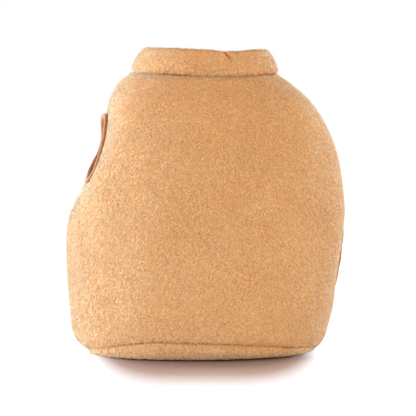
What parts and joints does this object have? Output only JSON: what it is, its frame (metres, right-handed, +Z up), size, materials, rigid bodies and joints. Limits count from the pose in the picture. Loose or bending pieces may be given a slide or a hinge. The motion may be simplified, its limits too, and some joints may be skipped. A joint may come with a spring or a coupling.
{
  "type": "squeaky plush burrow dog toy",
  "caption": "Stuffed fleece pot with a rolled collar, bound holes in its flanks and a squeaker in its floor, for hiding small toys in.",
  "frame": {"origin": "on the surface that the toy stands on, under the middle of its bounding box", "axes": "+Z up through the mouth, -Y towards the plain back that the picture shows, -X towards the high hole and +X towards the low hole"},
  "size_m": [0.1921, 0.166, 0.2083],
  "materials": {
    "fleece": "short-pile polyester fleece, tan, matte with a soft sheen",
    "lining": "smooth brown suede-like knit",
    "filling": "white polyester fibre",
    "pouch": "thin non-woven",
    "squeaker": "blown soft polyethylene",
    "whistle": "moulded hard plastic",
    "reed": "thin clear film"
  },
  "bodies": {
    "root": {"back_panel": "fleece", "front_panel": "fleece", "base_panel": "fleece", "collar_cover": "fleece", "collar_filling": "filling", "back_filling": "filling", "front_filling": "filling", "floor_pad": "filling", "back_lining": "lining", "front_lining": "lining", "floor_lining": "lining", "left_hole_facing": "lining", "right_hole_facing": "lining", "pouch_cup": "pouch", "squeaker_bellows": "squeaker", "whistle_barrel": "whistle", "whistle_plug": "whistle"},
    "crown": {"squeaker_crown": "squeaker", "pouch_lid": "pouch"},
    "reed": {"whistle_reed": "reed"}
  },
  "joints": [
    {"name": "squeaker_press", "type": "slide", "parent": "root", "child": "crown", "axis": [0, 0, -1], "range_m": [0, 0.009], "stiffness_N_per_m": 600, "deforming": ["squeaker_bellows", "floor_lining"]},
    {"name": "reed_flex", "type": "hinge", "parent": "root", "child": "reed", "pos_m": [0.00013, 0, 0.0116], "axis": [0, 1, 0], "range_deg": [-1.5, 4], "stiffness_Nm_per_rad": 0.005}
  ]
}
